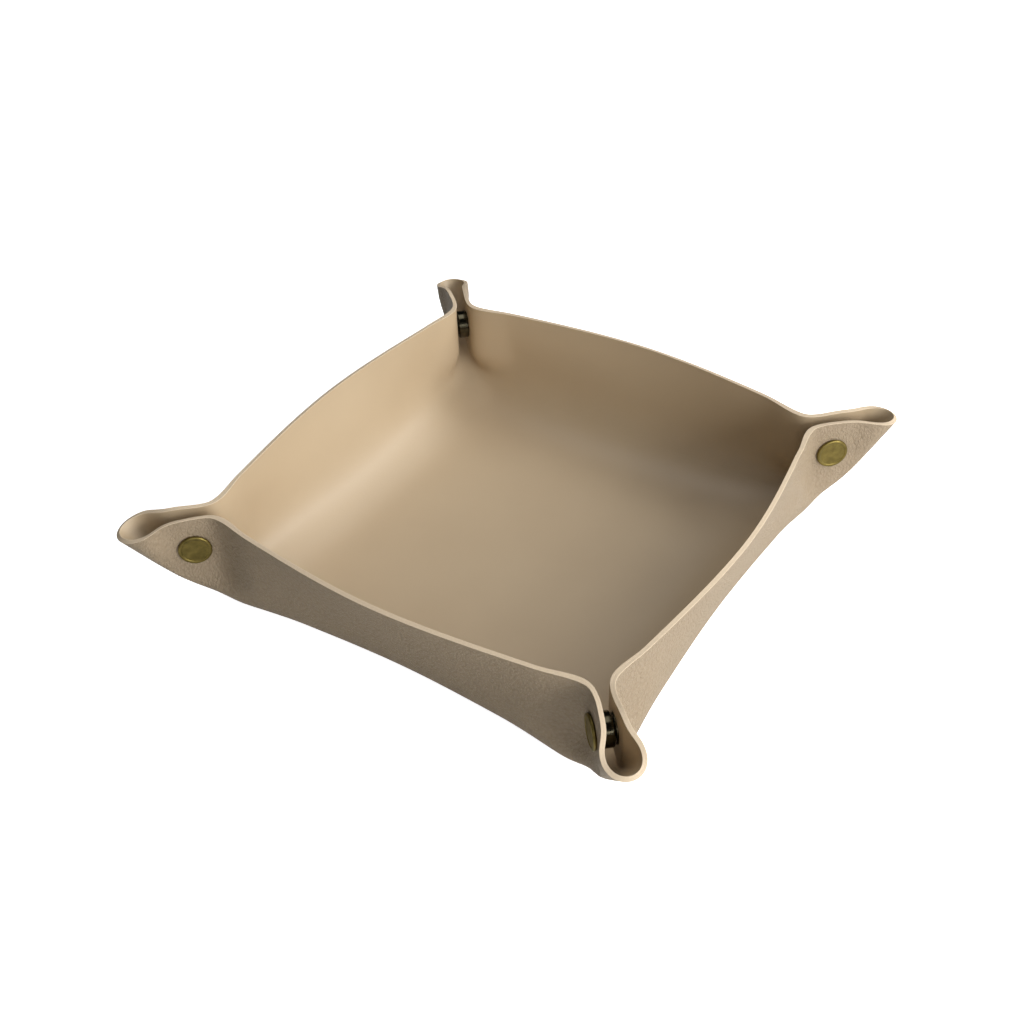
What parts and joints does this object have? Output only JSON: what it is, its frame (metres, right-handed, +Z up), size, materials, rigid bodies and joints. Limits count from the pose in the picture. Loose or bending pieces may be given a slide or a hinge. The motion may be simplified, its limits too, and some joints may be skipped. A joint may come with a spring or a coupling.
{
  "type": "valet tray",
  "caption": "Square leather valet tray whose corners are pinched into ears and held up by press studs, for keys and small items.",
  "frame": {"origin": "middle of the flat underside that the tray rests on", "axes": "+Z up, +X and +Y square to the walls; the front ear of the picture is at +X -Y"},
  "size_m": [0.2203, 0.2181, 0.0458],
  "materials": {
    "inner_leather": "smooth, soft sheen",
    "outer_leather": "fine pebble grain",
    "antique_brass": "aged, satin",
    "plain_brass": "plated, satin",
    "spring_steel": "drawn wire"
  },
  "bodies": {
    "root": {"inner_leather": "inner_leather", "outer_leather": "outer_leather", "left_stud": "plain_brass", "left_post": "antique_brass", "front_stud": "plain_brass", "front_post": "antique_brass", "right_stud": "plain_brass", "right_post": "antique_brass", "back_stud": "plain_brass", "back_post": "antique_brass"},
    "left_catch": {"left_cap": "antique_brass", "left_socket": "plain_brass", "left_spring": "spring_steel"},
    "front_catch": {"front_cap": "antique_brass", "front_socket": "plain_brass", "front_spring": "spring_steel"},
    "right_catch": {"right_cap": "antique_brass", "right_socket": "plain_brass", "right_spring": "spring_steel"},
    "back_catch": {"back_cap": "antique_brass", "back_socket": "plain_brass", "back_spring": "spring_steel"}
  },
  "joints": [
    {"name": "left_unsnap", "type": "hinge", "parent": "root", "child": "left_catch", "pos_m": [-0.09782, -0.0977, 0.02787], "axis": [0.4807, 0.4794, -0.7343], "range_deg": [0, 25], "deforming": ["inner_leather", "outer_leather", "left_spring"]},
    {"name": "front_unsnap", "type": "hinge", "parent": "root", "child": "front_catch", "pos_m": [0.0985, -0.09826, 0.02663], "axis": [0.5038, -0.5012, 0.7035], "range_deg": [0, 25], "deforming": ["inner_leather", "outer_leather", "front_spring"]},
    {"name": "right_unsnap", "type": "hinge", "parent": "root", "child": "right_catch", "pos_m": [0.09826, 0.0959, 0.02912], "axis": [0.4687, 0.4426, 0.7645], "range_deg": [0, 25], "deforming": ["inner_leather", "outer_leather", "right_spring"]},
    {"name": "back_unsnap", "type": "hinge", "parent": "root", "child": "back_catch", "pos_m": [-0.09904, 0.0975, 0.02686], "axis": [-0.5069, 0.4899, 0.7093], "range_deg": [0, 25], "deforming": ["inner_leather", "outer_leather", "back_spring"]}
  ]
}
